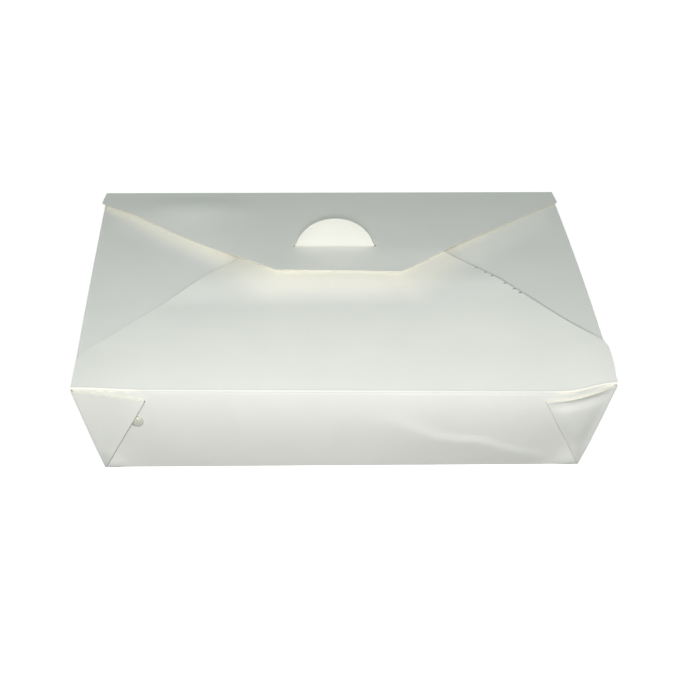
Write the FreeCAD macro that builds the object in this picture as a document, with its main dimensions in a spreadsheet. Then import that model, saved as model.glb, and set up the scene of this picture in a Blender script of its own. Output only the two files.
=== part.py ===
"""Takeout food box: a folded paperboard carton with flared walls, web corners and a tongue closure.

One sheet makes the base, four walls, four doubled corner webs, two side flaps, the front flap with
its tongue, and the rear flap.  The rear flap is the one that lifts, so it is a sub-part of its own,
which turns on the crease along the rear rim.  Millimetres, +Z up, +X along the length, front at -Y,
origin at the middle of the underside.
"""
import FreeCAD, Part
import os

import Sketcher

X_AXIS = FreeCAD.Vector(1, 0, 0)
Y_AXIS = FreeCAD.Vector(0, 1, 0)
ORIGIN = FreeCAD.Vector(0, 0, 0)
SKETCH_ORIGIN = (-1, 1)
SKETCH_X_AXIS = -1
QUARTER_TURN = 90
NEAR_ZERO = 1e-6
ON_LINE = 0.02

doc = FreeCAD.newDocument("TakeoutBox")
sheet = doc.addObject("Spreadsheet::Sheet", "Sizes")

SIZES = [
    ("base_length", 196.85, "length of the base, outside"),
    ("base_width", 139.7, "width of the base, outside"),
    ("rim_height", 47.6, "height of the front rim fold, outside"),
    ("flare", 9.525, "how far each wall leans out from base to rim"),
    ("board", 0.45, "caliper of the coated paperboard"),
    ("ply_gap", 0.15, "air between the plies of a folded web"),
    ("fold_radius", 0.34, "outside radius of a fold"),
    ("lap_gap", 0.15, "air between flaps that lie on each other"),
    ("hinge_gap", 0.1, "air under the rear flap along its crease"),
    ("web_crease", 46.0, "length of a web's folded crease, base corner to tip"),
    ("web_drop", 1.2, "how far a web's top corner stays below the rim"),
    ("side_flap_depth", 72.0, "side flap, rim to free edge"),
    ("side_flap_inset", 3.0, "side flap's crease stops this far from the rim corners"),
    ("side_flap_edge", 84.0, "length of a side flap's free edge"),
    ("side_flap_rise", 1.0, "rise of a side flap's free edge over its crease"),
    ("side_flap_slope", 40.0, "where a side flap's edge turns, from its crease"),
    ("side_flap_step", 9.0, "how far a side flap has narrowed there, at each end"),
    ("front_side", 24.0, "front flap's short side, along the side rim"),
    ("shoulder", 37.0, "half of the front flap's free edge"),
    ("tongue_line", 17.9, "tongue's fold, behind the middle of the box"),
    ("ridge_rise", 5.5, "rise of the front flap from the rim to the tongue's fold"),
    ("tongue_chord", 35.8, "width of the half-moon tongue at its fold"),
    ("tongue_height", 14.0, "height of the tongue"),
    ("tongue_tilt", 79.0, "tongue's angle to the ground, leaning back"),
    ("rear_side", 12.3, "rear flap's short side, along the side rim"),
    ("rear_lip", 26.8, "half of the rear flap's free edge"),
    ("rear_lap", 23.4, "rear flap's free edge, ahead of the tongue's fold"),
    ("slit_end_gap", 0.7, "slit past the tongue at each end"),
    ("slit_front_gap", 0.25, "slit ahead of the tongue"),
    ("slit_back_gap", 0.55, "slit behind the tongue, for its swing"),
    ("dab_radius", 2.9, "squeezed-out adhesive, half its width"),
    ("dab_height", 1.75, "squeezed-out adhesive, height over the wall"),
    ("dab_along", 32.7, "adhesive's place along the web's crease"),
    ("dab_out", 1.1, "adhesive's middle past the web's crease"),
    ("glue_radius", 5.0, "hidden glue spot under a web"),
    ("glue_along", 15.8, "glue spot's place from the base corner, along both edges of the web"),
]
for row, (alias, number, note) in enumerate(SIZES, start=1):
    sheet.set(f"A{row}", note)
    sheet.set(f"B{row}", str(number))
    sheet.setAlias(f"B{row}", alias)
doc.recompute()

# Lengths and angles that follow from the driving sizes, as expressions
LEAN = "atan(Sizes.flare / Sizes.rim_height)"
SLANT = "sqrt(Sizes.rim_height ^ 2 + Sizes.flare ^ 2)"
CORNER_LEAN = f"atan(Sizes.flare / {SLANT})"
CREASE_LEAN = f"(45 deg - 2 * {CORNER_LEAN})"
WEB_ANGLE = f"(45 deg - {CORNER_LEAN})"
HALF_LENGTH = "(Sizes.base_length / 2 + Sizes.flare)"
HALF_WIDTH = "(Sizes.base_width / 2 + Sizes.flare)"
WALL_SHIFT = f"(Sizes.board / cos({LEAN}))"
PACK = "(2 * (Sizes.board + Sizes.ply_gap))"
SIDE_RIM = "(Sizes.rim_height - Sizes.board - Sizes.lap_gap)"
REAR_SEAT = "(Sizes.rim_height - Sizes.board)"
FRONT_REACH = f"({HALF_WIDTH} + Sizes.tongue_line)"
REAR_REACH = f"({HALF_WIDTH} - Sizes.tongue_line)"
FRONT_PITCH = f"atan(Sizes.ridge_rise / {FRONT_REACH})"
REAR_RISE = "(Sizes.ridge_rise + Sizes.board + Sizes.lap_gap)"
REAR_PITCH = f"atan({REAR_RISE} / {REAR_REACH})"
SIDE_PITCH = "atan(Sizes.side_flap_rise / Sizes.side_flap_depth)"
WIDEST_FOLD = 0.75
FOLD_DEPTH = 0.95
FOLD = f"min(Sizes.fold_radius; {WIDEST_FOLD} * Sizes.board)"
FOLD_FOOT = f"({FOLD_DEPTH} * Sizes.board)"
MARGIN = "(10 * Sizes.board)"
HEADROOM = f"(Sizes.ridge_rise + Sizes.tongue_height + {MARGIN})"
TALL = f"(Sizes.rim_height + {HEADROOM})"
ABOVE_ALL = f"({TALL} + {MARGIN})"


def value(expression):
    """An expression's number, in millimetres or degrees."""
    answer = sheet.evalExpression(expression)
    return float(getattr(answer, "Value", answer))


def bind(item, **expressions):
    """Bind properties, written with __ for a dot, to expressions."""
    for name, expression in expressions.items():
        item.setExpression(name.replace("__", "."), expression)
    return item


def frustum(name, length, width, bottom, top):
    """A block whose four sides lean out by the flare; length and width are taken at z = 0."""
    block = doc.addObject("Part::Wedge", name)
    half_x = f"({length}) / 2"
    half_y = f"({width}) / 2"
    slope = "Sizes.flare / Sizes.rim_height"
    low_x = f"{half_x} + ({bottom}) * {slope}"
    low_y = f"{half_y} + ({bottom}) * {slope}"
    high_x = f"{half_x} + ({top}) * {slope}"
    high_y = f"{half_y} + ({top}) * {slope}"
    bind(block, Ymin=bottom, Ymax=top)
    bind(block, Xmax=low_x, Xmin=f"-({low_x})", Zmax=low_y, Zmin=f"-({low_y})")
    bind(block, X2max=high_x, X2min=f"-({high_x})", Z2max=high_y, Z2min=f"-({high_y})")
    block.Placement = FreeCAD.Placement(ORIGIN, FreeCAD.Rotation(X_AXIS, QUARTER_TURN))
    return block


def outline(name, corners):
    """A closed sketch whose corners are placed by a pair of expressions each."""
    sketch = doc.addObject("Sketcher::SketchObject", name)
    places = [[value(part) for part in corner] for corner in corners]
    count = len(corners)
    for index in range(count):
        start = FreeCAD.Vector(*places[index], 0)
        end = FreeCAD.Vector(*places[(index + 1) % count], 0)
        sketch.addGeometry(Part.LineSegment(start, end), False)
    for index in range(count):
        sketch.addConstraint(Sketcher.Constraint("Coincident", index, 2, (index + 1) % count, 1))
        pin(sketch, "DistanceX", (index, 1), corners[index][0], places[index][0])
        pin(sketch, "DistanceY", (index, 1), corners[index][1], places[index][1])
    return sketch


def pin(sketch, kind, point, expression, value):
    """Hold one coordinate of a sketch point at an expression, whichever its sign."""
    if value < 0:
        place = Sketcher.Constraint(kind, *point, *SKETCH_ORIGIN, -value)
        expression = f"-({expression})"
    else:
        place = Sketcher.Constraint(kind, *SKETCH_ORIGIN, *point, value)
    number = sketch.addConstraint(place)
    sketch.setExpression(f"Constraints[{number}]", expression)


def lay(item, axis, angle, x, y, z):
    """Turn an object about an axis through its own origin and set that origin in the box."""
    item.Placement = FreeCAD.Placement(ORIGIN, FreeCAD.Rotation(axis, QUARTER_TURN))
    bind(item, Placement__Rotation__Angle=angle)
    bind(item, Placement__Base__x=x, Placement__Base__y=y, Placement__Base__z=z)
    return item


def plate(name, sketch, forward, backward="0"):
    """Thicken a sketch along its normal, forward and backward."""
    solid = doc.addObject("Part::Extrusion", name)
    solid.Base = sketch
    solid.DirMode = "Normal"
    solid.Solid = True
    bind(solid, LengthFwd=forward, LengthRev=backward)
    return solid


def combine(kind, name, *parts):
    """A Cut or Common of two objects, or a MultiFuse of several."""
    result = doc.addObject(f"Part::{kind}", name)
    if kind == "MultiFuse":
        result.Shapes = list(parts)
    else:
        result.Base, result.Tool = parts
    return result


def mirrored(name, source, normal):
    """The source's image in a plane through the origin."""
    image = doc.addObject("Part::Mirroring", name)
    image.Source = source
    image.Normal = normal
    return image


def rounded(name, source, chosen, radius):
    """Fillet the edges that the test picks, all with one radius."""
    doc.recompute()
    edges = [n for n, edge in enumerate(source.Shape.Edges, start=1) if chosen(edge)]
    result = doc.addObject("Part::Fillet", name)
    result.Base = source
    result.Edges = [(n, radius, radius) for n in edges]
    return result


def not_at_top(block):
    """Tell a block's bottom and corner edges from the four round its top."""
    def test(edge):
        top = block.Shape.BoundBox.ZMax
        return min(vertex.Z for vertex in edge.Vertexes) < top - NEAR_ZERO
    return test


def on_line(start, end):
    """Tell the edges whose ends both lie on the line through two points."""
    along = (end - start).normalize()

    def test(edge):
        offsets = [vertex.Point - start for vertex in edge.Vertexes]
        return all(offset.cross(along).Length < ON_LINE for offset in offsets)
    return test


# Outside of the walls, and the wider outside that the web packs reach
radius = value(FOLD)
wall_block = frustum("WallBlock", "Sizes.base_length", "Sizes.base_width", "0", TALL)
wall_rounded = rounded("WallBlockRounded", wall_block, not_at_top(wall_block), radius)
PACK_WIDTH = f"Sizes.base_width + 2 * {PACK} / cos({LEAN})"
pack_block = frustum("PackBlock", "Sizes.base_length", PACK_WIDTH, "0", TALL)
pack_rounded = rounded("PackBlockRounded", pack_block, not_at_top(pack_block), radius)
cavity = frustum("Cavity", f"Sizes.base_length - 2 * {WALL_SHIFT}",
                 f"Sizes.base_width - 2 * {WALL_SHIFT}", "Sizes.board", ABOVE_ALL)

# Web at the left of the front wall: a doubled triangle of board, folded flat outside the wall
CORNER_DX = f"(-sin({CORNER_LEAN}))"
CORNER_DY = f"cos({CORNER_LEAN})"
CREASE_DX = f"sin({CREASE_LEAN})"
CREASE_DY = f"cos({CREASE_LEAN})"
APEX = "(-Sizes.base_length / 2)"
WEB_TOP = f"({SLANT} - Sizes.web_drop)"
FAR = "(2 * Sizes.web_crease)"


def on_wall(item, out="0"):
    """Lay an item on the front wall's outside, y up the slope, moved out along the normal."""
    y = f"-Sizes.base_width / 2 - ({out}) * cos({LEAN})"
    return lay(item, X_AXIS, f"90 deg + {LEAN}", "0", y, f"-({out}) * sin({LEAN})")


def web_point(along_corner, along_crease):
    """A point of the wall's plane, by its steps along the corner edge and along the crease."""
    across = f"{APEX} + ({along_corner}) * {CORNER_DX} + ({along_crease}) * {CREASE_DX}"
    upward = f"({along_corner}) * {CORNER_DY} + ({along_crease}) * {CREASE_DY}"
    return across, upward


def notch(name, from_corner, from_crease):
    """A triangle whose two sides run at given distances inside the corner edge and the crease."""
    corner = f"({from_crease}) / sin({WEB_ANGLE})"
    crease = f"({from_corner}) / sin({WEB_ANGLE})"
    return outline(name, [
        web_point(corner, crease),
        web_point(f"{corner} + {FAR}", crease),
        web_point(corner, f"{crease} + {FAR}"),
    ])


web_outline = on_wall(outline("WebOutline", [
    web_point("0", "0"),
    web_point("0", "Sizes.web_crease"),
    (f"-{HALF_LENGTH}", WEB_TOP),
    (f"-{HALF_LENGTH} - {MARGIN}", WEB_TOP),
    (f"{APEX} - {MARGIN}", "0"),
]))
web_blank = plate("WebBlank", web_outline, PACK, "Sizes.board")
doc.recompute()
apex_x = value(APEX)
tip_x, tip_y = (value(part) for part in web_point("0", "Sizes.web_crease"))
crease_start = web_outline.Placement.multVec(FreeCAD.Vector(apex_x, 0, value(PACK)))
crease_end = web_outline.Placement.multVec(FreeCAD.Vector(tip_x, tip_y, value(PACK)))
web_soft = rounded("WebRounded", web_blank, on_line(crease_start, crease_end), radius)
web_trimmed = combine("Common", "WebTrimmed", web_soft, pack_rounded)
inner_slit = plate("InnerSlit", on_wall(notch("InnerSlitOutline",
                   "2 * Sizes.board + Sizes.ply_gap", "-Sizes.board")), "Sizes.ply_gap")
outer_slit = plate("OuterSlit", on_wall(notch("OuterSlitOutline",
                   "Sizes.board + Sizes.ply_gap / 2", "Sizes.board"),
                   "Sizes.board + Sizes.ply_gap"), "Sizes.ply_gap")
web_slits = combine("MultiFuse", "WebSlits", inner_slit, outer_slit)
web = combine("Cut", "Web", web_trimmed, web_slits)
web_right = mirrored("WebRight", web, X_AXIS)
webs_front = combine("MultiFuse", "WebsFront", web, web_right)
webs_rear = mirrored("WebsRear", webs_front, Y_AXIS)

# Walls: hollowed, with the front and rear walls free of the side walls but for the webs
walls = combine("MultiFuse", "WallsAndWebs", wall_rounded, webs_front, webs_rear)
hollow = combine("Cut", "HollowTray", walls, cavity)
PLY_SHIFT = f"((Sizes.board + Sizes.ply_gap) / cos({LEAN}))"
GAP_REACH = f"((Sizes.board + 2 * Sizes.ply_gap) / cos({LEAN}))"
GAP_START = "(4 * Sizes.board)"
gap_outer = frustum("CornerGapOuter", f"Sizes.base_length - 2 * {WALL_SHIFT}",
                    f"Sizes.base_width + 2 * {GAP_REACH}", GAP_START, TALL)
gap_inner = frustum("CornerGapInner", f"Sizes.base_length - 2 * {PLY_SHIFT}",
                    f"Sizes.base_width + 2 * {GAP_REACH} + {MARGIN}", "0", ABOVE_ALL)
corner_gaps = combine("Cut", "CornerGaps", gap_outer, gap_inner)
tray_tall = combine("Cut", "TrayTall", hollow, corner_gaps)


def rim_box(name, half_x, y_low, y_high, top):
    """What stays of the tray below one rim height."""
    box = doc.addObject("Part::Box", name)
    bind(box, Length=f"2 * ({half_x})", Width=f"({y_high}) - ({y_low})", Height=f"{top} + {MARGIN}")
    bind(box, Placement__Base__x=f"-({half_x})", Placement__Base__y=y_low)
    bind(box, Placement__Base__z=f"-{MARGIN}")
    return box


SIDE_X = f"(Sizes.base_length / 2 + Sizes.flare * {SIDE_RIM} / Sizes.rim_height)"
BETWEEN_SIDES = f"({SIDE_X} - {WALL_SHIFT} - Sizes.ply_gap / 2)"
OUTSIDE = f"({HALF_LENGTH} + {MARGIN})"
below_sides = rim_box("BelowSideRims", OUTSIDE, f"-{OUTSIDE}", OUTSIDE, f"{SIDE_RIM} - {FOLD_FOOT}")
below_front = rim_box("BelowFrontRim", BETWEEN_SIDES, f"-{OUTSIDE}", "0",
                      f"Sizes.rim_height - {FOLD_FOOT}")
below_rear = rim_box("BelowRearRim", BETWEEN_SIDES, "0", OUTSIDE, f"{REAR_SEAT} - Sizes.hinge_gap")
below_rims = combine("MultiFuse", "BelowRims", below_sides, below_front, below_rear)
tray = combine("Common", "Tray", tray_tall, below_rims)

# Front flap, its crease on the front rim, and the tongue that bends up from its free edge
FRONT_RUN = f"({FRONT_REACH} / cos({FRONT_PITCH}) + Sizes.board)"
front_outline = outline("FrontFlapOutline", [
    (f"-{HALF_LENGTH}", f"-{MARGIN}"),
    (HALF_LENGTH, f"-{MARGIN}"),
    (HALF_LENGTH, "Sizes.front_side"),
    ("Sizes.shoulder", FRONT_RUN),
    ("-Sizes.shoulder", FRONT_RUN),
    (f"-{HALF_LENGTH}", "Sizes.front_side"),
])
lay(front_outline, X_AXIS, FRONT_PITCH, "0", f"-{HALF_WIDTH}", "Sizes.rim_height")
front_flap = plate("FrontFlap", front_outline, "0", "Sizes.board")

TONGUE_CURVE = ("(Sizes.tongue_chord ^ 2 / 4 + Sizes.tongue_height ^ 2)"
                " / (2 * Sizes.tongue_height)")
TONGUE_FOOT = "(Sizes.rim_height + Sizes.ridge_rise)"


def tongue_outline():
    """A half-moon over a short root that sits in the front flap's board."""
    half = value("Sizes.tongue_chord / 2")
    height = value("Sizes.tongue_height")
    root = value("Sizes.board / 2")
    sketch = doc.addObject("Sketcher::SketchObject", "TongueOutline")
    corners = [FreeCAD.Vector(half, 0, 0), FreeCAD.Vector(-half, 0, 0),
               FreeCAD.Vector(-half, -root, 0), FreeCAD.Vector(half, -root, 0)]
    crown = FreeCAD.Vector(0, height, 0)
    sketch.addGeometry(Part.Arc(corners[0], crown, corners[1]), False)
    for start, end in zip(corners[1:], corners[2:] + corners[:1]):
        sketch.addGeometry(Part.LineSegment(start, end), False)
    ends = [(0, 2, 1, 1), (1, 2, 2, 1), (2, 2, 3, 1), (3, 2, 0, 1)]
    for first, first_end, second, second_end in ends:
        sketch.addConstraint(Sketcher.Constraint("Coincident", first, first_end, second, second_end))
    for line, sign in ((1, "-"), (3, "")):
        point = (line, 1) if line == 1 else (line, 2)
        pin(sketch, "DistanceX", point, f"{sign}Sizes.tongue_chord / 2", -half if sign else half)
        sketch.addConstraint(Sketcher.Constraint("PointOnObject", *point, SKETCH_X_AXIS))
    for point in ((2, 1), (2, 2)):
        pin(sketch, "DistanceY", point, "-Sizes.board / 2", -root)
    sketch.addConstraint(Sketcher.Constraint("Vertical", 1))
    sketch.addConstraint(Sketcher.Constraint("Vertical", 3))
    bend = sketch.addConstraint(Sketcher.Constraint("Radius", 0, value(TONGUE_CURVE)))
    sketch.setExpression(f"Constraints[{bend}]", TONGUE_CURVE)
    return sketch


tongue = plate("Tongue", lay(tongue_outline(), X_AXIS, "Sizes.tongue_tilt * 1 deg", "0",
               "Sizes.tongue_line", TONGUE_FOOT), "0", "Sizes.board")

# Side flaps, the lowest layer of the lid
SIDE_HINGE = f"({HALF_WIDTH} - Sizes.side_flap_inset)"
side_outline = outline("SideFlapOutline", [
    (f"-{MARGIN}", f"-{SIDE_HINGE}"),
    ("0", f"-{SIDE_HINGE}"),
    ("Sizes.side_flap_slope", f"-{SIDE_HINGE} + Sizes.side_flap_step"),
    ("Sizes.side_flap_depth", "-Sizes.side_flap_edge / 2"),
    ("Sizes.side_flap_depth", "Sizes.side_flap_edge / 2"),
    ("Sizes.side_flap_slope", f"{SIDE_HINGE} - Sizes.side_flap_step"),
    ("0", SIDE_HINGE),
    (f"-{MARGIN}", SIDE_HINGE),
])
lay(side_outline, -Y_AXIS, SIDE_PITCH, f"-{SIDE_X}", "0", SIDE_RIM)
side_flap = plate("SideFlap", side_outline, "0", "Sizes.board")
side_flap_right = mirrored("SideFlapRight", side_flap, X_AXIS)

# Carton: the flaps end on the walls' outside, and each crease on a rim is rounded
flaps = combine("MultiFuse", "Flaps", front_flap, tongue, side_flap, side_flap_right)
flaps_trimmed = combine("Common", "FlapsTrimmed", flaps, wall_block)
front_rim = FreeCAD.Vector(0, -value(HALF_WIDTH), value("Sizes.rim_height"))
left_rim = FreeCAD.Vector(-value(SIDE_X), 0, value(SIDE_RIM))
right_rim = FreeCAD.Vector(value(SIDE_X), 0, value(SIDE_RIM))
rim_folds = [on_line(front_rim, front_rim + X_AXIS)]
rim_folds += [on_line(rim, rim + Y_AXIS) for rim in (left_rim, right_rim)]
flaps_soft = rounded("FlapsRounded", flaps_trimmed,
                     lambda edge: any(fold(edge) for fold in rim_folds), radius)
carton = combine("MultiFuse", "Carton", tray, flaps_soft)
carton.Refine = True
carton.Label = "carton"

# Rear flap, the top layer, with the slit that the tongue stands in
REAR_RUN = f"({REAR_REACH} / cos({REAR_PITCH}))"
rear_outline = outline("RearFlapOutline", [
    (HALF_LENGTH, "0"),
    (f"-{HALF_LENGTH}", "0"),
    (f"-{HALF_LENGTH}", "-Sizes.rear_side"),
    ("-Sizes.rear_lip", f"-{REAR_RUN} - Sizes.rear_lap"),
    ("Sizes.rear_lip", f"-{REAR_RUN} - Sizes.rear_lap"),
    (HALF_LENGTH, "-Sizes.rear_side"),
])
SLIT_HALF = "(Sizes.tongue_chord / 2 + Sizes.slit_end_gap)"
SLIT_FRONT = f"(-{REAR_RUN} - Sizes.slit_front_gap)"
SLIT_BACK = f"(-{REAR_RUN} + Sizes.board + Sizes.slit_back_gap)"
slit_outline = outline("SlitOutline", [
    (f"-{SLIT_HALF}", SLIT_FRONT),
    (SLIT_HALF, SLIT_FRONT),
    (SLIT_HALF, SLIT_BACK),
    (f"-{SLIT_HALF}", SLIT_BACK),
])
for sketch in (rear_outline, slit_outline):
    lay(sketch, -X_AXIS, REAR_PITCH, "0", HALF_WIDTH, REAR_SEAT)
rear_plate = plate("RearPlate", rear_outline, "Sizes.board")
slit = plate("Slit", slit_outline, "2 * Sizes.board", "Sizes.board")
rear_cut = combine("Cut", "RearCut", rear_plate, slit)
doc.recompute()
rear_edge = FreeCAD.Vector(0, 0, value("Sizes.board"))
rear_edge = rear_outline.Placement.multVec(rear_edge)
rear_flap = rounded("RearFlap", rear_cut, on_line(rear_edge, rear_edge + X_AXIS), radius)
rear_flap.Label = "rear_flap"

# Adhesive: a round spot under each web, and the drop squeezed out at the front left one
spot = on_wall(doc.addObject("Part::Cylinder", "GlueSpot"))
bind(spot, Radius="Sizes.glue_radius", Height="Sizes.ply_gap")
spot_x, spot_y = web_point("Sizes.glue_along", "Sizes.glue_along")
bind(spot, Placement__Base__x=spot_x)
bind(spot, Placement__Base__y=f"-Sizes.base_width / 2 - ({spot_y}) * sin({LEAN})")
bind(spot, Placement__Base__z=f"({spot_y}) * cos({LEAN})")
spot_right = mirrored("GlueSpotRight", spot, X_AXIS)
spots_front = combine("MultiFuse", "GlueSpotsFront", spot, spot_right)
spots_rear = mirrored("GlueSpotsRear", spots_front, Y_AXIS)
glue_spots = combine("MultiFuse", "GlueSpots", spots_front, spots_rear)
glue_spots.Label = "web_glue_spots"

drop = doc.addObject("Part::Ellipsoid", "Drop")
bind(drop, Radius1="Sizes.dab_height", Radius2="Sizes.dab_radius", Radius3="Sizes.dab_radius")
on_wall(drop)
drop_x, drop_y = web_point("0", "Sizes.dab_along")
drop_x = f"{drop_x} + Sizes.dab_out * {CREASE_DY}"
drop_y = f"({drop_y} - Sizes.dab_out * {CREASE_DX})"
bind(drop, Placement__Base__x=drop_x)
bind(drop, Placement__Base__y=f"-Sizes.base_width / 2 - {drop_y} * sin({LEAN})")
bind(drop, Placement__Base__z=f"{drop_y} * cos({LEAN})")
drop_off_wall = combine("Cut", "DropOffWall", drop, wall_block)
dab = combine("Cut", "Dab", drop_off_wall, web_soft)
dab.Label = "adhesive_dab"

doc.recompute()
for item in doc.Objects:
    faults = [word for word in ("Invalid", "Error") if word in item.State]
    if faults:
        raise RuntimeError(f"{item.Name}: {faults}")
parts = [carton, rear_flap, dab, glue_spots]
for item in parts:
    if item.Shape.isNull() or not item.Shape.isValid():
        raise RuntimeError(f"{item.Label}: bad shape")
    print(item.Label, "solids", len(item.Shape.Solids), "volume", round(item.Shape.Volume, 3))
os.makedirs("parts", exist_ok=True)
for item in parts:
    item.Shape.exportStep(f"parts/{item.Label}.step")
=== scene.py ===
"""Takeout food box of white coated paperboard: the looks.

Lengths are in millimetres until the meshes are made.  The box stands on z = 0 with its front
wall towards -Y and its length along X.  The board is drawn as its middle surface and thickened.
On the walls and webs, "up" is a distance up the slope.  On the flaps, "s" is a distance behind the
front flap's crease and "r" a distance ahead of the rear flap's crease.
"""
import math

import bmesh
import bpy
import numpy as np
from mathutils import Matrix, Vector


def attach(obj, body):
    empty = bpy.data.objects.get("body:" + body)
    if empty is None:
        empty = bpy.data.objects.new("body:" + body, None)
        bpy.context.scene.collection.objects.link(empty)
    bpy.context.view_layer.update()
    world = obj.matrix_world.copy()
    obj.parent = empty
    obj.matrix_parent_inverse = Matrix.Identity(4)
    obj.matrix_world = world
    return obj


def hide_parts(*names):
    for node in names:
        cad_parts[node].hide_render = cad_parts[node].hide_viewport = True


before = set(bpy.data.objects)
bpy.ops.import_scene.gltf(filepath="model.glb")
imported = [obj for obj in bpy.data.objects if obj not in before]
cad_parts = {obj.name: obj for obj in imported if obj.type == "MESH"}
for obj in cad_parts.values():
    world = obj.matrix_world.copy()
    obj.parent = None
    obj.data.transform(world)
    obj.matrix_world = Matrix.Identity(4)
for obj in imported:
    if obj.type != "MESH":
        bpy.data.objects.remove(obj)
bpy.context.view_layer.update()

MM = 0.001
DEG = math.pi / 180
FRONT, REAR = -1, 1
LEFT, RIGHT = -1, 1

# Sizes of the folded board, outside to outside
BASE_X = 98.425  # half of the base's length
BASE_Y = 69.85  # half of its width
RIM = 47.6  # height of the rim
FLARE = 9.525  # how far each wall leans out
BOARD = 0.45
HALF = BOARD / 2
PLY = 0.15  # air between two plies
PITCH = BOARD + PLY  # from one ply's middle to the next one's
LEAN = math.atan(FLARE / RIM)
TAN_L, COS_L, SIN_L = math.tan(LEAN), math.cos(LEAN), math.sin(LEAN)
SLANT = math.hypot(RIM, FLARE)
CORNER_LEAN = math.atan(FLARE / SLANT)  # lean of a long wall's ends, in its own plane
CREASE_LEAN = math.pi / 4 - 2 * CORNER_LEAN  # lean of a web's crease there
RIM_X, RIM_Y = BASE_X + FLARE, BASE_Y + FLARE
INSET = HALF / COS_L  # from a wall's outer face to its middle, measured level

# Folds
FOLD_R = 0.48  # radius of the base's and front rim's folds, in the board's middle
SIDE_FOLD_R = 0.42
CORNER_R = 0.4  # setback of the fold from a web into its side wall
LEG = 10  # length of the lines from which a fold is found
RIM_STEPS = 8
FOLD_STEPS = 6

# Webs
CREASE = 46.0  # length of a rear web's crease, from the base corner to its tip
FRONT_CREASE = {LEFT: 48.4, RIGHT: 47.9}
FRONT_LEAN = 1.1 * DEG  # further lean of the front webs' creases
FRONT_SPREAD = {LEFT: 0.9, RIGHT: 0.15}  # painted shadow in a crease, where it stands off the wall
REAR_SPREAD = 0.2
FRONT_SHADE = {LEFT: 5, RIGHT: 1.5}  # how dark a crease is
WEB_TOP = SLANT - 1.2
PLY_STEPS = 11

# Flaps and tongue
SIDE_RIM = RIM - BOARD - PLY  # height of the side flaps' creases
SIDE_DEEP = 72
SIDE_INSET = 3  # a side flap's crease ends this far from the rim's corners
REAR_SEAT = RIM - BOARD  # height of the rear flap's underside at its crease
REAR_SIDE = 12.3  # the rear flap's short sides
REAR_LIP = 26.8  # half of its free edge
RIDGE = 5.5  # rise of the front flap up to the tongue's fold
BULGE = 0.30  # how much its slope falls off on the way
FRONT_SIDE = 24.0  # the front flap's short sides
FRONT_END = 97.4  # depth of the front flap, up to the tongue's fold
FREE_LEFT, FREE_RIGHT = -34.8, 44.0  # ends of its free edge
FLAP_REACH = RIM_X - 0.1
TONGUE_X = -0.9
TONGUE_Y = 17.9  # the tongue's fold, behind the middle of the box
TONGUE_HALF = 17.9
TONGUE_HIGH = 14.7
TONGUE_TILT = 79 * DEG
TONGUE_BEND = 11 * DEG  # how much steeper its top stands
TONGUE_R = 0.5
REAR_END = RIM_Y - TONGUE_Y + 23.4  # depth of the rear flap
SLIT_HALF = 18.3
SLIT_AHEAD, SLIT_BEHIND = 0.4, 1.6  # the slit's sides, from the tongue's fold
BEFORE_SLIT, SLIT_COLS, AFTER_SLIT = 24, 28, 25  # columns of the rear flap

# Ends of the front flap's rows, by their distance behind its crease
LEFT_EDGE = ([0, 18, 22.5, 26, FRONT_END], [-FLAP_REACH, -107.5, -106.3, -102.8, FREE_LEFT])
RIGHT_EDGE = ([0, 12, 21, 25.5, 30, FRONT_END],
              [FLAP_REACH, 108.5, 108.4, 106.9, 103.2, FREE_RIGHT])
EDGE_SHADE = 3.5  # painted shadow along the front flap's right edge, over its gap to the side flap
NICKS = (77.9, 73.8, 70.8, 65.2, 61.3, 58.7)  # the die's nicks in that edge
# NICK_SHADE is the painted shadow in each nick
NICK_HALF, NICK_DEEP, NICK_ROOM, NICK_SHADE = 0.5, 1.1, 0.75, 5

# How the board is worked: its swell, step, pinches and skew
BELLY = 1.3  # swell of the front wall
STEP_LINE = ([-5, 18, 39, 48, 56, 71, 84], [39, 34, 22, 20.5, 19.5, 12, 7])  # x and height
STEP_SOFT = ([10, 40, 56], [7, 2.3, 1.3])  # x and softness
STEP_OUT, STEP_LEAN = 0.7, 0.35
PINCH_OUT, PINCH_UP, PINCH_X = 0.9, 2.8, 94.5  # at the foot of each front web's crease
KINK_FOOT, KINK_CREST, KINK_TOP = 38.2, 42.3, 48  # heights of the right web's bright kink
SAG_DEEP = 70  # how far back the front rim's sag reaches
SKEW = 2.0
SWELL, DROOP = 2.9, 1.8  # of the rear flap's left half


def smooth(low, high, x):
    """0 below low, 1 above high, and a soft step between."""
    t = np.clip((np.asarray(x, float) - low) / (high - low), 0, 1)
    return t * t * (3 - 2 * t)


def hump(centre, width, x):
    """1 at the centre, fading to 0 on both sides."""
    return np.exp(-(((np.asarray(x, float) - centre) / width) ** 2))


# ---------------------------------------------------------------- shape of the worked board


def bow(x):
    """1 along the front rim, falling to 0 at its corners."""
    return 1 - smooth(np.where(np.asarray(x) > 0, 86, 76), RIM_X, np.abs(x))


def front_push(x, up):
    """How far the front wall swells out at a height up its slope."""
    t = np.clip(up / SLANT, 0, 1)
    belly = BELLY * 4 * t * (1 - t) * (1 - smooth(70, 98, np.abs(x)))
    crest = np.interp(x, *STEP_LINE)
    soft = np.interp(x, *STEP_SOFT)
    step = STEP_OUT * (1 - smooth(-soft, soft, up - crest))
    leaning = STEP_LEAN * np.exp(-np.clip(up - crest, 0, None) / 15)
    window = smooth(0, 34, x) * (1 - smooth(76, 89, x))
    amount = np.clip(up / crest, 0, 1) * np.clip(crest / 13, 0, 1) * window
    foot = up / PINCH_UP
    pinch = PINCH_OUT * foot * np.exp(1 - foot) * hump(PINCH_X, 3.6, np.abs(x))
    return belly + (step + leaning) * amount + pinch


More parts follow.
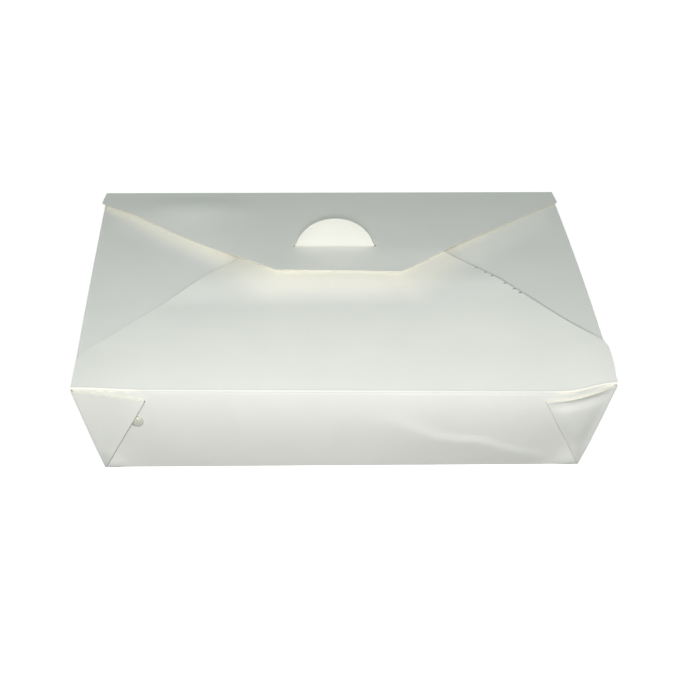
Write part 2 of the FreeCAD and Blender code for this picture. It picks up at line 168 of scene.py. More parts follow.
def web_kink(x, up):
    """How far the right front web stands off where it was pinched."""
    inside = BASE_X + up * math.tan(CORNER_LEAN) - x
    past = x - (BASE_X - up * math.tan(CREASE_LEAN + FRONT_LEAN))
    window = smooth(0.8, 9, inside) * smooth(0, 6, past) * (np.asarray(x) > 0)
    t = np.clip(up / 40, 0, 1)
    hollow = 0.8 * 4 * t * (1 - t) + 0.6 * t
    kink = 1.9 * smooth(KINK_CREST, KINK_TOP, up) - smooth(KINK_FOOT, KINK_CREST, up)
    return (hollow + kink) * window


def rim_shift(x, weight):
    """Forward and downward shift of the front rim, by the weight; it grows towards the right."""
    more = np.clip((x + 80) / 156, 0, 1)
    return (1.2 + 2.1 * more) * bow(x) * weight, (0.6 + 1.1 * more) * bow(x) * weight


def skew(points):
    """The box stands a little out of square, with its right front base corner further forward."""
    share = np.clip(0.5 + points[..., 0] / (2 * BASE_X), 0, 1)
    share = share * np.clip(0.5 - points[..., 1] / (2 * BASE_Y), 0, 1)
    moved = points.copy()
    moved[..., 1] -= SKEW * share * np.clip(1 - points[..., 2] / RIM, 0, 1)
    return moved


def front_roof(x, s):
    """Height of the front flap's middle over the rim, at s behind its crease."""
    t = s / FRONT_END
    rise = RIDGE * (t + BULGE * t * (1 - t))
    lip = 2.2 * smooth(53, 74, s) * (1 - smooth(76, 96, s)) * (1 - 0.6 * smooth(5, 35, x))
    out = np.clip(s / 24, 0, 1)
    lift = 0.9 * smooth(25, 60, s) * (1 - smooth(66, 84, s))
    right = smooth(15, 60, x) * (1.2 * out * smooth(40, 105, x) + lift)
    left = -0.9 * out * smooth(82, 106, -x) - 1.2 * smooth(30, 90, s) * smooth(10, 60, -x)
    return rise + lip + right + left


def rear_roof(x, r):
    """Height of the rear flap's middle over its crease, at r ahead of it."""
    slope = (RIDGE + PITCH) / (RIM_Y - TONGUE_Y)
    flat = slope * r - 0.6 * smooth(62, 85, r)
    twist = 0.5 * smooth(0, 30, -x) * smooth(60, 85, r) - smooth(-5, 40, x) * smooth(63, 85, r)
    swell = SWELL * hump(-66, 24, x) * hump(22, 13, r) * smooth(0, 14, r)
    near_edge = np.clip(1 + past_rear_flap(x, RIM_Y - r) / 22, 0, 1)
    droop = DROOP * hump(-64, 24, x) * near_edge ** 2
    return flat + twist + swell - droop


def side_roof(x, y):
    """Height of the side flaps' middle over their crease: they spring up by the rear flap."""
    inside = RIM_X - 0.4 - np.abs(x)
    slope = np.where(x < 0, 0.042, 0.018) * inside
    by_edge = 1 - smooth(-3, 13, past_rear_flap(x, y))
    lift = 1.5 * by_edge * smooth(0, 14, inside) * smooth(38, 60, np.abs(x))
    under_rear = 0.1 + 0.085 * (RIM_Y - y)
    s = y + RIM_Y
    sag = rim_shift(x, 1 - smooth(0, SAG_DEEP, s))[1]
    under_front = front_roof(x, s) - sag - 0.25 + 0.3 * np.clip(past_front_flap(x, s), 0, None)
    return np.minimum(np.minimum(slope + lift, under_rear), under_front)


def side_bow(y, sign):
    """How far a side rim stands out between its corners."""
    return (1.1 if sign == RIGHT else 0.3) * (1 - np.clip(np.abs(y) / RIM_Y, 0, 1) ** 2)


def past_rear_flap(x, y):
    """Plan distance of a point in front of the rear flap's free edges, negative beneath it."""
    end = RIM_Y - REAR_END
    run, rise = RIM_X - REAR_LIP, REAR_END - REAR_SIDE
    length = math.hypot(run, rise)
    x, y = np.broadcast_arrays(x, y)
    edges = [end - y]
    for sign in (LEFT, RIGHT):
        edges.append(((sign * x - REAR_LIP) * rise - (y - end) * run) / length)
    return np.maximum.reduce(edges)


def past_front_flap(x, s):
    """Plan distance of a point outside the front flap's right slanting edge, on either side."""
    run, rise = 103 - FREE_RIGHT, FRONT_END - 28
    return ((np.abs(x) - FREE_RIGHT) * rise - (FRONT_END - s) * run) / math.hypot(run, rise)


# ---------------------------------------------------------------- sheets

MERGE = 0.02  # points closer than this are one
SLIVER = 0.005  # edges shorter than this are taken out
HOLE = 12  # holes with a shorter outline are filled
SHARP = 48 * DEG  # sharper edges aren't shaded smooth


class Sheet:
    """Grids of points that are merged where they meet, with how much painted glow and painted
    shade each one has.
    """

    def __init__(self):
        self.points = []
        self.faces = []
        self.painted_glow = []
        self.painted_shade = []

    def grid(self, block, painted_glow=0.0, painted_shade=0.0, skip=None):
        """Add rows of points and their faces, without the faces that skip names."""
        rows, cols = block.shape[:2]
        start = len(self.points)
        self.points += [tuple(p) for p in block.reshape(-1, 3)]
        self.painted_glow += list(np.broadcast_to(painted_glow, (rows, cols)).reshape(-1))
        self.painted_shade += list(np.broadcast_to(painted_shade, (rows, cols)).reshape(-1))
        for i in range(rows - 1):
            for j in range(cols - 1):
                if skip is None or not skip(i, j):
                    a = start + i * cols + j
                    self.faces.append((a, a + 1, a + cols + 1, a + cols))


def fill_small_holes(bm, longest):
    """Close the little gaps that stay at the base corners, where three folds meet."""
    edges = {e for e in bm.edges if len(e.link_faces) == 1}
    while edges:
        edge = edges.pop()
        loop = [edge]
        first, last = edge.verts
        while last is not first:
            step = next((e for e in last.link_edges if e in edges), None)
            if step is None:
                break
            edges.discard(step)
            loop.append(step)
            last = step.other_vert(last)
        if last is first and sum(e.calc_length() for e in loop) < longest:
            ring = {v for e in loop for v in e.verts}
            middle = sum((v.co for v in ring), Vector()) / len(ring)
            hub = bm.verts.new(middle)
            for e in loop:
                bm.faces.new((e.verts[0], e.verts[1], hub))


def merged_mesh(name, sheet):
    """The sheet's middle surface as one mesh in metres."""
    mesh = bpy.data.meshes.new(name)
    mesh.from_pydata([tuple(p) for p in skew(np.array(sheet.points))], [], sheet.faces)
    for label, values in (("painted_glow", sheet.painted_glow), ("painted_shade", sheet.painted_shade)):
        field = mesh.attributes.new(label, "FLOAT", "POINT")
        field.data.foreach_set("value", np.array(values, np.float32))
    bm = bmesh.new()
    bm.from_mesh(mesh)
    bmesh.ops.remove_doubles(bm, verts=bm.verts, dist=MERGE)
    bmesh.ops.dissolve_degenerate(bm, dist=SLIVER, edges=bm.edges)
    fill_small_holes(bm, HOLE)
    bmesh.ops.recalc_face_normals(bm, faces=bm.faces)
    for v in bm.verts:
        v.co *= MM
    bm.to_mesh(mesh)
    bm.free()
    return mesh


def thicken(name, sheet, materials, body, node):
    """One closed piece of board from a sheet, riding on a body in place of a CAD node."""
    mesh = merged_mesh(name, sheet)
    obj = bpy.data.objects.new(name, mesh)
    bpy.context.collection.objects.link(obj)
    for material in materials:
        mesh.materials.append(material)
    solid = obj.modifiers.new("board", "SOLIDIFY")
    solid.thickness = BOARD * MM
    solid.offset = 0
    solid.use_even_offset = False
    solid.thickness_clamp = 0
    solid.material_offset_rim = 1
    graph = bpy.context.evaluated_depsgraph_get()
    made = bpy.data.meshes.new_from_object(obj.evaluated_get(graph))
    obj.modifiers.clear()
    obj.data = made
    made.polygons.foreach_set("use_smooth", np.ones(len(made.polygons), bool))
    made.set_sharp_from_angle(angle=SHARP)
    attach(obj, body)
    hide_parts(node)


def row(x, y, z):
    """Points from three coordinates, of which some may be the same for all."""
    return np.stack(np.broadcast_arrays(x, y, z), -1)


def spaced(start, end, count, ends=0.8):
    """Values from start to end with one close to each end, which keeps a fold's shading narrow."""
    step = math.copysign(ends, end - start)
    return np.concatenate([[start], np.linspace(start + step, end - step, count - 2), [end]])


def fold(a, b, c, radius, steps):
    """Points of an arc that rounds the corner b of the line a-b-c, in a plane."""
    a, b, c = (np.array(p, float) for p in (a, b, c))
    u, v = (a - b) / np.linalg.norm(a - b), (c - b) / np.linalg.norm(c - b)
    half = math.acos(np.clip(u @ v, -1, 1)) / 2
    centre = b + (u + v) / np.linalg.norm(u + v) * radius / math.sin(half)
    back = radius / math.tan(half)
    start, end = b + u * back - centre, b + v * back - centre
    turn = math.atan2(start[0] * end[1] - start[1] * end[0], start @ end)
    out = []
    for angle in np.linspace(0, turn, steps + 1):
        cos_a, sin_a = math.cos(angle), math.sin(angle)
        out.append(centre + (start[0] * cos_a - start[1] * sin_a,
                             start[0] * sin_a + start[1] * cos_a))
    return np.array(out)


def columns():
    """Places along a row, -1 to 1: both ends of the tongue, and a narrow last column."""
    free = FREE_RIGHT - FREE_LEFT
    ends = [(TONGUE_X + end * TONGUE_HALF - FREE_LEFT) / free for end in (LEFT, RIGHT)]
    shares = [np.linspace(0, ends[0], BEFORE_TONGUE + 1)[:-1],
              np.linspace(*ends, TONGUE_COLS + 1)[:-1],
              np.linspace(ends[1], 1 - NARROW, AFTER_TONGUE), [1]]
    return np.concatenate(shares) * 2 - 1


# The rows and columns that the walls, webs, base and flaps share
BEFORE_TONGUE, TONGUE_COLS, AFTER_TONGUE = 31, 40, 33
NARROW = 0.004  # the last column's share of a row
BASE_ROWS, WALL_ROWS = 45, 26
COLS = columns()
CORNER = BASE_Y + HALF * TAN_L - INSET
BASE_FOLD = fold((0, HALF), (CORNER, HALF), (CORNER + TAN_L * LEG, HALF + LEG), FOLD_R, FOLD_STEPS)
Y_END, Z_START = BASE_FOLD[0][0], BASE_FOLD[-1][1]
X_END = Y_END + BASE_X - BASE_Y
Y_BASE = spaced(-Y_END, Y_END, BASE_ROWS)
Z_WEB = WEB_TOP * COS_L
LEVELS = spaced(Z_START, Z_WEB, WALL_ROWS)


def web_fold(up):
    """What share of their full size the web's folds have at a height up the slope."""
    width = up / WEB_TOP * CREASE * math.sin(CORNER_LEAN + CREASE_LEAN)
    return np.minimum(1, 0.14 + width / 7)


def wall_edge(z):
    """Half length of the front wall's middle surface, up to where it turns into the web."""
    up = z / COS_L
    corner = BASE_X + up * math.tan(CORNER_LEAN)
    return corner - (PITCH + HALF + PITCH / 2) * web_fold(up) / math.cos(CORNER_LEAN)


def side_start(z):
    """Half width of the side wall's middle surface, up to where it turns into the webs."""
    size = web_fold(z / COS_L)
    outer = -HALF + 2 * PITCH * size
    return BASE_Y + z * TAN_L + outer / COS_L - CORNER_R * min(1, size + 0.2)


def wall_point(x, z, out, sign=FRONT):
    """Points off a long wall's outer face at a height, out along its normal."""
    x, z, out = np.broadcast_arrays(x, z, out)
    return row(x, sign * (BASE_Y + z * TAN_L + out * COS_L), z - out * SIN_L)


def on_front(points, kinked=False):
    """The front wall's and webs' points after the wall has swollen and the rim has sagged."""
    x, z = points[..., 0], points[..., 2]
    up = z / COS_L
    push = front_push(x, up)
    if kinked:
        push = push + web_kink(x, up)
    forward, down = rim_shift(x, smooth(0, SLANT, up))
    moved = points.copy()
    moved[..., 1] -= push * COS_L + forward
    moved[..., 2] -= push * SIN_L + down
    return moved


def long_wall(sign):
    """Base fold and wall, for the front or the rear."""
    first = wall_edge(Z_START)
    rows = []
    for k, (y, z) in enumerate(BASE_FOLD):
        rows.append(row(COLS * (X_END + (first - X_END) * k / FOLD_STEPS), sign * y, z))
    rows += [wall_point(COLS * wall_edge(z), z, -HALF, sign) for z in LEVELS[1:]]
    rows = np.array(rows)
    return on_front(rows) if sign == FRONT else rows


def front_top():
    """Top of the front wall, the rim's fold and the front flap, and their painted shade: on the
    fold against its highlight, and painted shadow along the flap's right edge and in its nicks.
    """
    rim_y = -(BASE_Y + (RIM - HALF) * TAN_L - INSET)
    rim_z = RIM - HALF
    slope = RIDGE * (1 + BULGE) / FRONT_END
    turn = fold((rim_y + LEG * TAN_L, rim_z - LEG), (rim_y, rim_z),
                (rim_y + LEG, rim_z + LEG * slope), FOLD_R, RIM_STEPS)
    rows = [on_front(wall_point(COLS * wall_edge(Z_WEB), Z_WEB, -HALF))]
    rows += [row(COLS * FLAP_REACH, y, z) for y, z in turn]
    # painted shade on the rim's fold, which tones down its highlight
    painted_shade = [np.zeros(COLS.shape)] + [np.ones(COLS.shape)] * len(turn)
    start = turn[-1][0] - rim_y
    steps = np.concatenate([[start + 0.8], np.linspace(start + 2.2, FRONT_SIDE, 14)[:-1],
                            np.linspace(FRONT_SIDE, FRONT_END, 48)])
    steps = [s for s in steps if min(abs(s - nick) for nick in NICKS) > NICK_ROOM]
    steps += [nick + place for nick in NICKS for place in (-NICK_HALF, 0, NICK_HALF)]
    for s in sorted(steps):
        low, high = np.interp(s, *LEFT_EDGE), np.interp(s, *RIGHT_EDGE)
        x = low + (COLS + 1) / 2 * (high - low)
        shade = np.zeros(COLS.shape)
        # painted shadow along the right edge, where it stands off the side flap
        shade[-1] = EDGE_SHADE * smooth(25, 34, s) * (1 - smooth(88, 94, s))
        # a painted shadow in each nick
        if s in NICKS:
            x[-2:] -= NICK_DEEP
            shade[-2:] = NICK_SHADE
        painted_shade.append(shade)
        rows.append(row(x, rim_y + s, rim_z + front_roof(x, s)))
    rows = np.array(rows)
    flap = rows[1:]
    behind = np.clip(flap[..., 1] - rim_y, 0, None)
    forward, down = rim_shift(flap[..., 0], 1 - smooth(0, SAG_DEEP, behind))
    flap[..., 1] -= forward
    flap[..., 2] -= down
    return rows, np.array(painted_shade)


def tongue_rows(edge):
    """The tongue, bent up from the flap's free edge, given that edge's points."""
    foot = edge[BEFORE_TONGUE:BEFORE_TONGUE + TONGUE_COLS + 1]
    across = foot[:, 0] - TONGUE_X
    curve = (TONGUE_HALF ** 2 + TONGUE_HIGH ** 2) / (2 * TONGUE_HIGH)
    high = np.sqrt(np.clip(curve ** 2 - across ** 2, 0, None)) - (curve - TONGUE_HIGH)
    high = np.clip(high, 0, None)
    bend = TONGUE_R * np.clip(high, 0, 1)
    rows = [foot]
    for angle in np.linspace(0, TONGUE_TILT, 6)[1:]:
        rows.append(foot + row(0, bend * math.sin(angle), bend * (1 - math.cos(angle))))
    root = rows[-1]
    for v in np.linspace(0, 1, 15)[1:]:
        rise = v * np.clip(high - 0.6, 0, None)
        tilt = TONGUE_TILT + TONGUE_BEND * v
        rows.append(root + row(0, rise * math.cos(tilt), rise * math.sin(tilt)))
    return np.array(rows)


def web(sign_x, sign_y):
    """A corner's doubled web, from the long wall round to the side wall, and the painted shadow
    along a front web's crease.
    """
    front = sign_y == FRONT
    spread = FRONT_SPREAD[sign_x] if front else REAR_SPREAD
    crease = FRONT_CREASE[sign_x] if front else CREASE
    lean = CREASE_LEAN + (FRONT_LEAN if front else 0)
    half_turn = np.linspace(0, math.pi, FOLD_STEPS + 1)
    plies = spaced(0, 1, PLY_STEPS + 1, 0.03)[1:]
    rows = []
    for z in LEVELS:
        up = z / COS_L
        size = web_fold(up)
        ring = PITCH / 2 * size
        inner, outer = -HALF + PITCH * size, -HALF + 2 * PITCH * size
        start = wall_edge(z)
        along = crease * up / WEB_TOP
        tip_x = BASE_X - along * math.sin(lean)
        tip_up = along * math.cos(lean)
        end_x = min(tip_x + (HALF + PITCH / 2) * size / math.cos(lean), start - 0.02)
        end_z = z + (tip_up * COS_L - z) * (start - end_x) / (start - tip_x)
        off = spread * size
        line = [(start + ring * math.sin(a), z, -HALF + ring * (1 - math.cos(a)))
                for a in half_turn]
        line += [(start + (end_x - start) * v, z + (end_z - z) * v, inner + off * v * v)
                 for v in plies]
        line += [(end_x - ring * math.sin(a), end_z, inner + off + ring * (1 - math.cos(a)))
                 for a in half_turn[1:]]
        side_x = BASE_X + up * math.tan(CORNER_LEAN) - INSET
        turn_x = side_x - CORNER_R * min(1, size + 0.2)
        line += [(end_x + (turn_x - end_x) * v, end_z + (z - end_z) * v,
                  outer + off * (1 - v) ** 2) for v in plies]
        points = wall_point(*np.array(line).T)
        a = points[-1]
        b = np.array([side_x, a[1], z])
        c = np.array([side_x, -side_start(z), z])
        corner = [(1 - t) ** 2 * a + 2 * t * (1 - t) * b + t * t * c
                  for t in np.linspace(0, 1, FOLD_STEPS + 1)[1:]]
        rows.append(np.vstack([points, corner]))
    rows = np.array(rows)
    rows[..., 0] *= sign_x
    shade = np.zeros(rows.shape[1])
    if not front:
        rows[..., 1] *= -1
        return rows, shade
    # painted shadow along a front web's crease, in its gap off the wall
    first = FOLD_STEPS + 1 + PLY_STEPS
    shade[first:first + FOLD_STEPS - 1] = FRONT_SHADE[sign_x]
    return on_front(rows, kinked=True), shade


def side(sign):
    """Base fold, side wall, rim fold and side flap, and the painted warm glow on them."""
    share = Y_BASE / Y_END
    last = side_start(Z_START)
    rows = []
    for k, (y, z) in enumerate(BASE_FOLD):
        rows.append(row(y + BASE_X - BASE_Y, share * (Y_END + (last - Y_END) * k / FOLD_STEPS), z))
    for z in LEVELS[1:]:
        rows.append(row(BASE_X + z * TAN_L - INSET, share * side_start(z), z))
    top_z = SIDE_RIM - HALF
    top_x = BASE_X + top_z * TAN_L - INSET
    half = RIM_Y - SIDE_INSET
    turn = fold((top_x - LEG * TAN_L, top_z - LEG), (top_x, top_z), (top_x - LEG, top_z + 0.14),
                SIDE_FOLD_R, RIM_STEPS)
    rows += [row(x, share * half, z) for x, z in turn]
    start = top_x - turn[-1][0]
    flap = len(rows)
    for t in np.concatenate([[start + 0.8], np.linspace(start + 2.2, SIDE_DEEP, 50)]):
        y = share * np.interp(t, [0, 40, SIDE_DEEP], [half, RIM_Y - 12, 42])
        x = np.full(share.shape, top_x - t)
        rows.append(row(x, y, top_z + side_roof(sign * x, y)))
    rows = np.array(rows)
    weight = smooth(0, RIM, rows[..., 2])
    weight[flap:] = 1 - smooth(10, 60, top_x - rows[flap:, :, 0])
    rows[..., 0] += side_bow(rows[..., 1], sign) * weight
    rows[..., 0] *= sign
    painted_glow = 1 - side_free_of_glow(rows, sign)
    painted_glow[:flap] = 0
    return rows, painted_glow


def side_free_of_glow(rows, sign):
    """1 where a side flap is plain white, 0 beside the rear flap's edge, where a warm glow is
    painted.
    """
    away = past_rear_flap(rows[..., 0], rows[..., 1])
    if sign == RIGHT:
        return smooth(-4, 1, away)
    widen = np.clip((RIM_Y - rows[..., 1]) / 40, 0.15, 1.2)
    return smooth(widen, 9 * widen, away)


def build_carton(materials):
    """All of the box but its rear flap."""
    sheet = Sheet()
    sheet.grid(np.array([row(COLS * X_END, y, HALF) for y in Y_BASE]))
    for wall, flank in ((FRONT, LEFT), (REAR, RIGHT)):
        sheet.grid(long_wall(wall))
        sheet.grid(*side(flank))
    top, painted_shade = front_top()
    # painted warm glow on the front flap beside the rear flap's edge, and in the nooks above the
    # front webs
    painted_glow = 1 - smooth(3, 22, past_rear_flap(top[..., 0], top[..., 1]))
    painted_glow[:7] = smooth(78, 88, np.abs(top[:7, :, 0]))
    sheet.grid(top, painted_glow, painted_shade)
    # the tongue gets some painted warm glow, and painted shade that tones down its brightness
    sheet.grid(tongue_rows(top[-1]), 0.3, 0.7)
    rear_top = [wall_point(COLS * wall_edge(Z_WEB), Z_WEB, -HALF, REAR)]
    for z in (RIM - 1, REAR_SEAT - 0.12):
        rear_top.append(wall_point(COLS * (RIM_X - 0.5), z, -HALF, REAR))
    sheet.grid(np.array(rear_top))
    for sign_x in (LEFT, RIGHT):
        for sign_y in (FRONT, REAR):
            points, shade = web(sign_x, sign_y)
            sheet.grid(points, painted_shade=shade)
    thicken("carton_board", sheet, materials, "box", "carton")


def build_rear_flap(materials):
    """The rear flap, with the slit that the tongue stands in."""
    fold_r = RIM_Y - TONGUE_Y
    slit_back, slit_front = fold_r - SLIT_BEHIND, fold_r + SLIT_AHEAD
    runs = np.concatenate([[0.25, 0.9], np.linspace(2, REAR_SIDE, 6)[:-1],
                           np.linspace(REAR_SIDE, slit_back, 30),
                           np.linspace(slit_front, REAR_END, 15)])
    at_slit = np.interp(TONGUE_Y, [RIM_Y - REAR_END, RIM_Y - REAR_SIDE], [REAR_LIP, RIM_X])
    slit = np.linspace(TONGUE_X - SLIT_HALF, TONGUE_X + SLIT_HALF, SLIT_COLS + 1)
    turns = [0, REAR_SIDE, REAR_END]
    rows = []
    for r in runs:
        low = -np.interp(r, turns, [FLAP_REACH, RIM_X + 0.9, REAR_LIP])
        high = np.interp(r, turns, [FLAP_REACH, RIM_X + 0.3, REAR_LIP])
        mids = slit * high / at_slit
        x = np.concatenate([np.linspace(low, mids[0], BEFORE_SLIT + 1)[:-1], mids,
                            np.linspace(mids[-1], high, AFTER_SLIT + 1)[1:]])
        rows.append(row(x, RIM_Y - r, REAR_SEAT + HALF + 0.02 + rear_roof(x, r)))
    gap = int(np.argmin(abs(runs - slit_back)))
    slit_cols = range(BEFORE_SLIT, BEFORE_SLIT + SLIT_COLS)
    sheet = Sheet()
    sheet.grid(np.array(rows), skip=lambda i, j: i == gap and j in slit_cols)
    thicken("rear_flap_board", sheet, materials, "lid_flap", "rear_flap")


def pushed_copy(name, node, material, shift=(0, 0, 0)):
    """A CAD node's mesh, moved with the front wall that it sits on."""
    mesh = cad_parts[node].data.copy()
    points = np.array([v.co for v in mesh.vertices]) / MM + shift
    moved = skew(np.where(points[:, 1:2] < 0, on_front(points), points))
    for vertex, place in zip(mesh.vertices, moved * MM):
        vertex.co = place
    mesh.materials.clear()
    mesh.materials.append(material)
    obj = bpy.data.objects.new(name, mesh)
    bpy.context.collection.objects.link(obj)
    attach(obj, "box")
    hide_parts(node)


# ---------------------------------------------------------------- materials


def new_material(name, roughness):
    """A material and its main shader."""
    mat = bpy.data.materials.new(name)
    mat.use_nodes = True
    bsdf = mat.node_tree.nodes["Principled BSDF"]
    bsdf.inputs["Roughness"].default_value = roughness
    return mat, bsdf


def noise_of(mat, scale, detail):
    """A noise texture fixed to the object, at a scale in turns a metre."""
    nodes, links = mat.node_tree.nodes, mat.node_tree.links
    place = nodes.new("ShaderNodeTexCoord")
    noise = nodes.new("ShaderNodeTexNoise")
    noise.inputs["Scale"].default_value = scale
    noise.inputs["Detail"].default_value = detail
    links.new(place.outputs["Object"], noise.inputs["Vector"])
    return noise.outputs["Fac"]


def attribute(mat, name):
    """What the mesh says at each point."""
    node = mat.node_tree.nodes.new("ShaderNodeAttribute")
    node.attribute_name = name
    return node.outputs["Fac"]


def scaled(mat, colour, value, value_range, factor_range, clamp):
    """A colour times a factor that follows a value."""
    nodes, links = mat.node_tree.nodes, mat.node_tree.links
    shade = nodes.new("ShaderNodeMapRange")
    shade.clamp = clamp
    shade.inputs["From Min"].default_value, shade.inputs["From Max"].default_value = value_range
    shade.inputs["To Min"].default_value, shade.inputs["To Max"].default_value = factor_range
    times = nodes.new("ShaderNodeVectorMath")
    times.operation = "SCALE"
    links.new(value, shade.inputs["Value"])
    links.new(colour, times.inputs[0])
    links.new(shade.outputs[0], times.inputs["Scale"])
    return times.outputs[0]


def with_painted_shade(mat, colour):
    """A colour, darker by painted shade where the mesh marks it: shadows in gaps, creases and
    nicks, and toned-down highlights.
    """
    return scaled(mat, colour, attribute(mat, "painted_shade"), (0, 1), (1, 0.86), False)


def mottle(mat, colour, scale, low, high):
    """Give the shader a colour with slight cloudy variation, between two factors."""
    clouds = scaled(mat, colour, noise_of(mat, scale, 3), (0.3, 0.7), (low, high), True)
    mat.node_tree.links.new(clouds, mat.node_tree.nodes["Principled BSDF"].inputs["Base Color"])


def grain(mat, scale, height):
    """Fine relief of the surface, its height in millimetres."""
    nodes, links = mat.node_tree.nodes, mat.node_tree.links
    bump = nodes.new("ShaderNodeBump")
    bump.inputs["Strength"].default_value = 0.4
    bump.inputs["Distance"].default_value = height * MM
    links.new(noise_of(mat, scale, 4), bump.inputs["Height"])
    links.new(bump.outputs[0], nodes["Principled BSDF"].inputs["Normal"])


def plain_colour(mat, colour):
    """A colour node, for a material whose colour varies."""
    node = mat.node_tree.nodes.new("ShaderNodeRGB")
    node.outputs[0].default_value = (*colour, 1)
    return node.outputs[0]


def board_material():
    """Coated white board, with a painted warm glow beside the flaps' edges and painted shade where
    the mesh marks it.
    """
    mat, bsdf = new_material("board", 0.6)
    bsdf.inputs["Specular IOR Level"].default_value = 0.17
    mix = mat.node_tree.nodes.new("ShaderNodeMix")
    mix.data_type = "RGBA"
    mix.inputs["A"].default_value = (0.785, 0.803, 0.757, 1)
    # the colour of the painted warm glow
    mix.inputs["B"].default_value = (0.975, 0.96, 0.85, 1)
    mat.node_tree.links.new(attribute(mat, "painted_glow"), mix.inputs["Factor"])
    mottle(mat, with_painted_shade(mat, mix.outputs["Result"]), 55, 0.985, 1.01)
    grain(mat, 1500, 0.04)
    return mat


def edge_material():
    """The board's cut edge, with painted shadow where the mesh marks it."""
    mat = new_material("board_edge", 0.8)[0]
    mottle(mat, with_painted_shade(mat, plain_colour(mat, (0.66, 0.65, 0.565))), 2500, 0.92, 1.05)
    grain(mat, 3000, 0.05)
    return mat


def glue_material():
    """Dried hot-melt adhesive: milky, greyish and half clear."""
    mat, bsdf = new_material("adhesive", 0.25)
    bsdf.inputs["Transmission Weight"].default_value = 0.35
    bsdf.inputs["IOR"].default_value = 1.45
    mottle(mat, plain_colour(mat, (0.62, 0.63, 0.54)), 700, 0.9, 1.06)
    grain(mat, 900, 0.1)
    return mat


# ---------------------------------------------------------------- camera, light and floor

CAM_YAW = -3.8 * DEG
CAM_ELEVATION = 34.63 * DEG
CAM_ROLL = 1.67 * DEG
CAM_DISTANCE = 651.7
CAM_RIGHT = 6.1
CAM_UP = 8.1
CAM_FOCAL_PX = 1423.4
FRAME_PX = 700
SENSOR_MM = 36.0
FLOOR_HALF = 6000
FLOOR_BELOW = 0.2


def camera_axes():
    """The camera's backward, right and up directions before its roll."""
    back = Vector((math.sin(CAM_YAW) * math.cos(CAM_ELEVATION),
                   -math.cos(CAM_YAW) * math.cos(CAM_ELEVATION),
                   math.sin(CAM_ELEVATION)))
    right = Vector((math.cos(CAM_YAW), math.sin(CAM_YAW), 0))
    return back, right, back.cross(right)


def make_camera():
    """A camera at the photograph's place and angle."""
    back, right, up = camera_axes()
    place = (back * CAM_DISTANCE + right * CAM_RIGHT + up * CAM_UP) * MM
    rolled_right = right * math.cos(CAM_ROLL) + up * math.sin(CAM_ROLL)
    rolled_up = up * math.cos(CAM_ROLL) - right * math.sin(CAM_ROLL)
    data = bpy.data.cameras.new("camera")
    data.sensor_width = SENSOR_MM
    data.lens = CAM_FOCAL_PX * SENSOR_MM / FRAME_PX
    data.clip_start = 0.01
    camera = bpy.data.objects.new("camera", data)
    turn = Matrix((rolled_right, rolled_up, back)).transposed().to_4x4()
    camera.matrix_world = Matrix.Translation(place) @ turn
    bpy.context.collection.objects.link(camera)
    bpy.context.scene.camera = camera


def seen_directly(nodes, links):
    """1 for what the camera sees by itself, in a reflection or through something clear."""
    path = nodes.new("ShaderNodeLightPath")
    value = path.outputs["Is Camera Ray"]
    for name in ("Is Glossy Ray", "Is Transmission Ray"):
        either = nodes.new("ShaderNodeMath")
        either.operation = "MAXIMUM"
        links.new(value, either.inputs[0])
        links.new(path.outputs[name], either.inputs[1])
        value = either.outputs[0]
    return value


def show_directly(nodes, links, lighting, seen, output):
    """Lead one shader to the light and another to the camera."""
    mix = nodes.new("ShaderNodeMixShader")
    out = nodes.new(output)
    links.new(seen_directly(nodes, links), mix.inputs["Fac"])
    links.new(lighting.outputs[0], mix.inputs[1])
    links.new(seen.outputs[0], mix.inputs[2])
    links.new(mix.outputs[0], out.inputs["Surface"])


def make_world(low, high):
    """A soft light, and plain white where the camera or a reflection sees past the box."""
    world = bpy.data.worlds.new("studio")
    bpy.context.scene.world = world
    world.use_nodes = True
    nodes, links = world.node_tree.nodes, world.node_tree.links
    nodes.clear()
    light = nodes.new("ShaderNodeBackground")
    light.inputs["Color"].default_value = (0.84, 1, 0.97, 1)
    place = nodes.new("ShaderNodeTexCoord")
    split = nodes.new("ShaderNodeSeparateXYZ")
    rise = nodes.new("ShaderNodeMapRange")
    rise.inputs["From Min"].default_value = -0.2
    rise.inputs["To Min"].default_value = low
    rise.inputs["To Max"].default_value = high
    links.new(place.outputs["Generated"], split.inputs[0])
    links.new(split.outputs["Z"], rise.inputs["Value"])
    links.new(rise.outputs[0], light.inputs["Strength"])
    white = nodes.new("ShaderNodeBackground")
    white.inputs["Strength"].default_value = 1.0
    white.inputs["Color"].default_value = (1, 1, 1, 1)
    show_directly(nodes, links, light, white, "ShaderNodeOutputWorld")


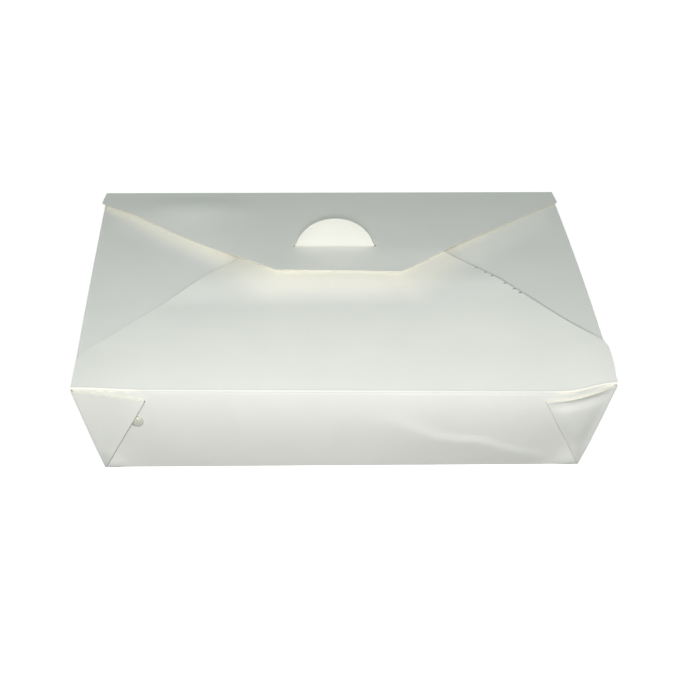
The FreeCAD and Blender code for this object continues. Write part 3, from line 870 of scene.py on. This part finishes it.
def make_floor():
    """A plain floor that the camera sees as white, with the box's shadow on it."""
    mesh = bpy.data.meshes.new("floor")
    corners = [(-1, -1), (1, -1), (1, 1), (-1, 1)]
    mesh.from_pydata([Vector((x * FLOOR_HALF, y * FLOOR_HALF, -FLOOR_BELOW)) * MM
                      for x, y in corners], [], [(0, 1, 2, 3)])
    floor = bpy.data.objects.new("floor", mesh)
    bpy.context.collection.objects.link(floor)
    mat = bpy.data.materials.new("floor")
    mat.use_nodes = True
    nodes, links = mat.node_tree.nodes, mat.node_tree.links
    nodes.clear()
    plain = nodes.new("ShaderNodeBsdfDiffuse")
    plain.inputs["Color"].default_value = (0.2, 0.2, 0.2, 1)
    pale = nodes.new("ShaderNodeBsdfDiffuse")
    pale.inputs["Color"].default_value = (0.5, 0.5, 0.5, 1)
    glow = nodes.new("ShaderNodeEmission")
    glow.inputs["Strength"].default_value = 0.85
    seen = nodes.new("ShaderNodeAddShader")
    links.new(pale.outputs[0], seen.inputs[0])
    links.new(glow.outputs[0], seen.inputs[1])
    show_directly(nodes, links, plain, seen, "ShaderNodeOutputMaterial")
    mesh.materials.append(mat)


def make_lamp(name, place, aim, size, power, colour=(1, 1, 1)):
    """A round lamp that faces the aim."""
    data = bpy.data.lights.new(name, "AREA")
    data.shape = "DISK"
    data.size = size * MM
    data.energy = power
    data.color = colour
    lamp = bpy.data.objects.new(name, data)
    lamp.location = Vector(place) * MM
    lamp.rotation_euler = (Vector(place) - Vector(aim)).to_track_quat("Z", "Y").to_euler()
    bpy.context.collection.objects.link(lamp)


def placed(azimuth, elevation, distance):
    """A place round the box, azimuth 0 being straight in front."""
    a, e = azimuth * DEG, elevation * DEG
    return (distance * math.sin(a) * math.cos(e), -distance * math.cos(a) * math.cos(e),
            distance * math.sin(e))


make_camera()
make_world(0.07, 0.25)
make_floor()
make_lamp("key", (-22, -420, 311), (0, 0, 40), 62, 2.34, (1, 0.972, 0.972))
make_lamp("fill_left", placed(-124, 1.5, 900), (0, 0, 20), 500, 4.2)
make_lamp("fill_right", placed(124, 1.5, 900), (0, 0, 20), 500, 4.2)

board = [board_material(), edge_material()]
build_carton(board)
build_rear_flap(board)
glue = glue_material()
pushed_copy("adhesive_drop", "adhesive_dab", glue, (1.4, -SIN_L, COS_L))
pushed_copy("glue_spots", "web_glue_spots", glue)

bpy.context.scene.view_settings.view_transform = "Standard"
